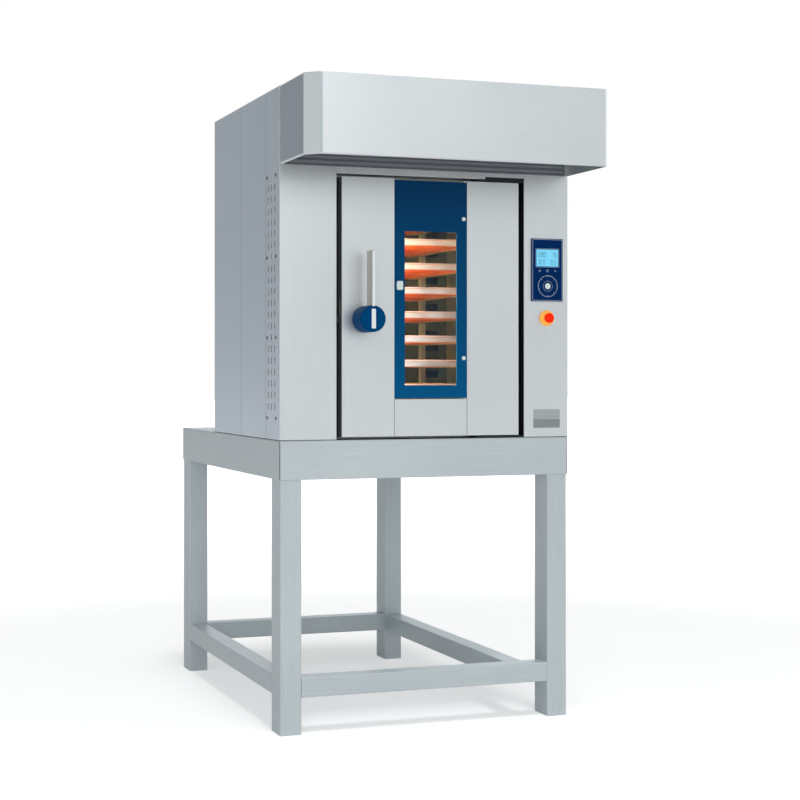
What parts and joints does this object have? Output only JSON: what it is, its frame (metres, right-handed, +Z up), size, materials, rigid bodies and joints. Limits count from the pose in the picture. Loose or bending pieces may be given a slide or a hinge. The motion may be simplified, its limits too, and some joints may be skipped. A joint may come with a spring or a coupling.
{
  "type": "rotating rack oven",
  "caption": "Bakery convection oven on an open stand: windowed swing door, turning rack of trays in an insulated chamber, rear fan and steam hood.",
  "frame": {"origin": "on the floor, under the middle of the part's box", "axes": "+X to the right seen from the front, +Y from the door to the rear, +Z up"},
  "size_m": [1.0024, 1.657, 2.104],
  "materials": {
    "steel_body": "satin",
    "steel_side": "satin",
    "steel_hood": "satin",
    "stand_paint": "semi-gloss light grey",
    "lining_steel": "satin",
    "galvanised": "dull",
    "blue_glass": "gloss, printed on the back of the glass",
    "clear_glass": "gloss",
    "blue_plastic": "satin-gloss",
    "white_plastic": "gloss",
    "panel_film": "gloss",
    "dial_film": "gloss",
    "display": "gloss, lit pale blue",
    "stop_red": "gloss",
    "stop_yellow": "gloss",
    "black_steel": "satin black",
    "bare_steel": "satin",
    "seal_rubber": "matte",
    "mineral_wool": "matte",
    "tray_metal": "satin",
    "bearing_bronze": "satin",
    "motor_paint": "gloss",
    "heater_steel": "dull, heat-tinted",
    "lamp_glass": "gloss, lit warm",
    "plate_grey": "satin",
    "gland_plastic": "matte"
  },
  "bodies": {
    "oven": {"stand_legs": "stand_paint", "stand_stretchers": "stand_paint", "stand_apron": "stand_paint", "stand_top": "stand_paint", "left_vent_panel": "steel_side", "left_side_panels": "steel_side", "right_side_panels": "steel_side", "rear_panel": "galvanised", "roof_panel": "galvanised", "left_column": "steel_body", "control_column": "steel_body", "door_header": "steel_body", "panel_screws": "black_steel", "hood_shell": "steel_hood", "chamber_front_frame": "lining_steel", "chamber_lining": "lining_steel", "insulation": "mineral_wool", "air_baffle": "lining_steel", "chamber_lamp": "lamp_glass", "steam_pipe": "bare_steel", "heat_box_casing": "galvanised", "heating_rings": "heater_steel", "fan_motor": "motor_paint", "motor_cover": "galvanised", "rack_bearings": "bearing_bronze", "rack_gearmotor": "motor_paint", "hinge_brackets": "black_steel", "latch_keeper": "bare_steel", "control_plate": "panel_film", "display_window": "display", "stop_base": "stop_yellow", "blank_plate": "plate_grey", "exhaust_pipe": "bare_steel", "cable_gland": "gland_plastic"},
    "rack": {"rack_frame": "lining_steel", "tray_runners": "lining_steel", "baking_trays": "tray_metal", "rack_shaft": "bare_steel"},
    "fan": {"fan_wheel": "bare_steel"},
    "door": {"door_side_skins": "steel_body", "door_lower_panel": "steel_body", "door_core": "mineral_wool", "door_inner_frame": "lining_steel", "door_inner_glass": "clear_glass", "door_seal": "seal_rubber", "door_hinge_blocks": "bare_steel", "handle_rose": "bare_steel"},
    "pane": {"pane_border": "blue_glass", "pane_window": "clear_glass", "pane_hinge": "white_plastic", "pane_catch": "white_plastic"},
    "handle": {"handle_hub": "blue_plastic", "handle_lever": "steel_body", "latch_cam": "bare_steel"},
    "key_a": {"key_left": "panel_film"},
    "key_b": {"key_middle": "panel_film"},
    "key_c": {"key_right": "panel_film"},
    "dial": {"dial": "dial_film"},
    "dial_centre": {"dial_button": "white_plastic"},
    "stop": {"stop_button": "stop_red"}
  },
  "joints": [
    {"name": "door_hinge", "type": "hinge", "parent": "oven", "child": "door", "pos_m": [0.311, -0.5165, 0.94], "axis": [0, 0, 1], "range_deg": [0, 120]},
    {"name": "pane_swing", "type": "hinge", "parent": "door", "child": "pane", "pos_m": [0.13, -0.5255, 1.063], "axis": [0, 0, 1], "range_deg": [0, 95]},
    {"name": "handle_turn", "type": "hinge", "parent": "door", "child": "handle", "pos_m": [-0.219, -0.5685, 1.316], "axis": [0, 1, 0], "range_deg": [0, 90]},
    {"name": "rack_spin", "type": "hinge", "parent": "oven", "child": "rack", "pos_m": [0.0135, -0.09595, 0.983], "axis": [0, 0, 1], "continuous": true},
    {"name": "fan_spin", "type": "hinge", "parent": "oven", "child": "fan", "pos_m": [0.0135, 0.56861, 1.364], "axis": [0, 1, 0], "continuous": true},
    {"name": "key_left_press", "type": "slide", "parent": "oven", "child": "key_a", "axis": [0, 1, 0], "range_m": [0, 0.0008], "stiffness_N_per_m": 200},
    {"name": "key_middle_press", "type": "slide", "parent": "oven", "child": "key_b", "axis": [0, 1, 0], "range_m": [0, 0.0008], "stiffness_N_per_m": 200},
    {"name": "key_right_press", "type": "slide", "parent": "oven", "child": "key_c", "axis": [0, 1, 0], "range_m": [0, 0.0008], "stiffness_N_per_m": 200},
    {"name": "dial_turn", "type": "hinge", "parent": "oven", "child": "dial", "pos_m": [0.4235, -0.5345, 1.433], "axis": [0, 1, 0], "continuous": true},
    {"name": "dial_button_press", "type": "slide", "parent": "dial", "child": "dial_centre", "axis": [0, 1, 0], "range_m": [0, 0.0008], "stiffness_N_per_m": 200},
    {"name": "stop_button_press", "type": "slide", "parent": "oven", "child": "stop", "axis": [0, 1, 0], "range_m": [0, 0.004]}
  ]
}
